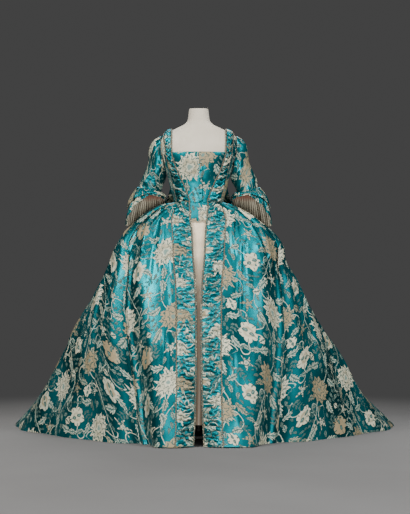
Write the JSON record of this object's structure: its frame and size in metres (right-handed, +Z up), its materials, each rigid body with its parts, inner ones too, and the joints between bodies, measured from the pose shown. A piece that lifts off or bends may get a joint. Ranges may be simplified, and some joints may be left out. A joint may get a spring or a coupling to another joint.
{
  "type": "robe a la francaise on a dress form",
  "caption": "Open gown with a sack back and train over a petticoat, with ruched robings, elbow sleeves and double ruffles, on a limbless dress form.",
  "frame": {"origin": "centre of the underside of the stand's base, on the floor", "axes": "+Z up, -Y out of the gown's front, +X towards the wearer's left"},
  "size_m": [1.8254, 1.4533, 1.487],
  "materials": {
    "brocade_silk": "turquoise silk satin brocaded with ivory and tan flowers",
    "ruffle_silk": "brocaded silk with a cream and tan facing inside",
    "petticoat_silk": "plain cream silk",
    "fly_braid": "tan fly braid",
    "form_jersey": "off-white jersey",
    "stand_metal": "matt dark paint"
  },
  "bodies": {
    "root": {"bodice_braid_inner_left": "fly_braid", "bodice_braid_inner_right": "fly_braid", "bodice_braid_outer_left": "fly_braid", "bodice_braid_outer_right": "fly_braid", "bodice_front_left": "brocade_silk", "bodice_front_right": "brocade_silk", "bodice_robing_left": "brocade_silk", "bodice_robing_right": "brocade_silk", "bodice_side_back_left": "brocade_silk", "bodice_side_back_right": "brocade_silk", "button_1": "brocade_silk", "button_2": "brocade_silk", "button_3": "brocade_silk", "button_4": "brocade_silk", "button_5": "brocade_silk", "button_6": "brocade_silk", "button_7": "brocade_silk", "button_8": "brocade_silk", "button_9": "brocade_silk", "compere_left": "brocade_silk", "compere_right": "brocade_silk", "form_torso": "form_jersey", "petticoat_back": "petticoat_silk", "petticoat_front": "petticoat_silk", "petticoat_side_left": "petticoat_silk", "petticoat_side_right": "petticoat_silk", "sack_back_left": "brocade_silk", "sack_back_right": "brocade_silk", "skirt_braid_inner_left": "fly_braid", "skirt_braid_inner_right": "fly_braid", "skirt_braid_outer_left": "fly_braid", "skirt_braid_outer_right": "fly_braid", "skirt_front_left": "brocade_silk", "skirt_front_right": "brocade_silk", "skirt_robing_left": "brocade_silk", "skirt_robing_right": "brocade_silk", "skirt_side_left": "brocade_silk", "skirt_side_right": "brocade_silk", "sleeve_left": "brocade_silk", "sleeve_right": "brocade_silk", "sleeve_ruffle_lower_left": "ruffle_silk", "sleeve_ruffle_lower_right": "ruffle_silk", "sleeve_ruffle_upper_left": "ruffle_silk", "sleeve_ruffle_upper_right": "ruffle_silk", "stand_base": "stand_metal", "stand_pole": "stand_metal"}
  },
  "joints": []
}
